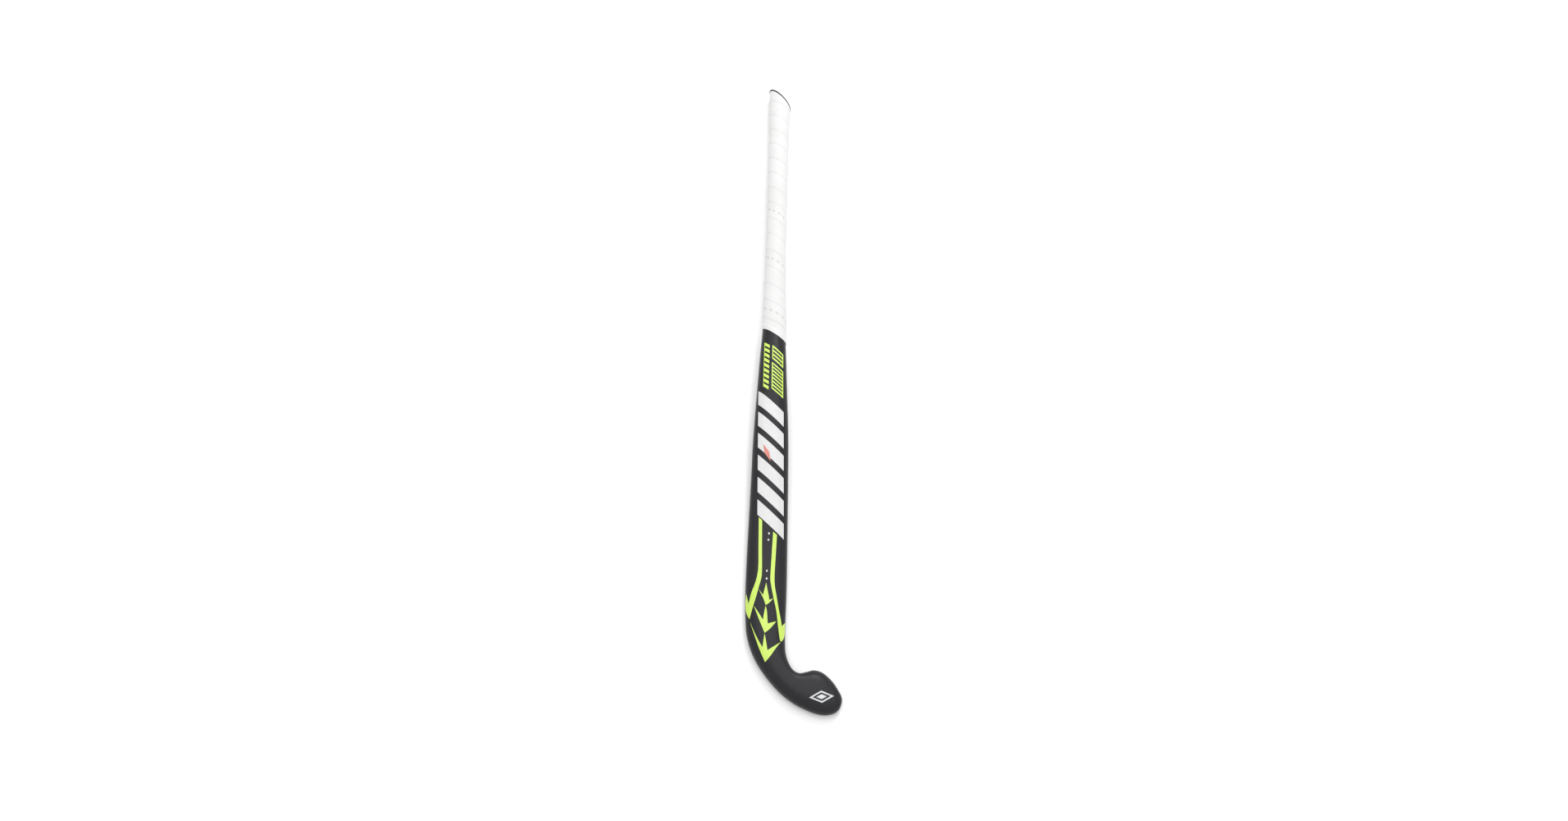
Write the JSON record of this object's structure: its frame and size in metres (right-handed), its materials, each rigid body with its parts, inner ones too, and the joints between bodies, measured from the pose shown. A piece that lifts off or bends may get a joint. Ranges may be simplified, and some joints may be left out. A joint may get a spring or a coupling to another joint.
{
  "type": "field hockey stick",
  "caption": "Adult composite field hockey stick with a hooked head, flat playing face, rounded bowed back, wrapped handle and domed butt cap, lying on its flat face.",
  "frame": {"origin": "bottom centre of the stick's box, with the flat playing face on the ground", "axes": "+Y up the shaft towards the butt, +X across the shaft towards the toe, +Z from the playing face to the rounded back"},
  "size_m": [0.1182, 0.9204, 0.0472],
  "materials": {
    "composite": "dark grey fibre composite under a satin clear lacquer",
    "aramid": "resin-soaked woven aramid, hidden",
    "carbon": "moulded carbon fibre tube, hidden",
    "foam": "rigid polyurethane foam, hidden",
    "cap_rubber": "matt black rubber",
    "underlay": "soft foam strip, hidden",
    "grip": "white synthetic chamois tape, fine matt grain",
    "tape": "white vinyl tape",
    "white_print": "white printed film under lacquer",
    "lime_print": "lime printed film under lacquer",
    "silver_print": "silver printed film under lacquer",
    "red_print": "red printed film under lacquer"
  },
  "bodies": {
    "root": {"outer_shell": "composite", "head_sleeve": "aramid", "head_core": "foam", "chamber_tube_heel_side": "carbon", "chamber_tube_toe_side": "carbon", "handle_plug_heel_side": "foam", "handle_plug_toe_side": "foam", "butt_cap": "cap_rubber", "grip_underlay": "underlay", "grip_wrap": "grip", "finishing_tape": "tape", "slanted_bar_1": "white_print", "slanted_bar_2": "white_print", "slanted_bar_3": "white_print", "slanted_bar_4": "white_print", "slanted_bar_5": "white_print", "slanted_bar_6": "white_print", "stripe_heel_side": "lime_print", "stripe_toe_side": "lime_print", "chevron_1": "lime_print", "chevron_2": "lime_print", "chevron_3": "lime_print", "comb": "lime_print", "ladder_upper": "lime_print", "ladder_lower": "lime_print", "toe_badge": "silver_print", "red_accent": "red_print"}
  },
  "joints": []
}
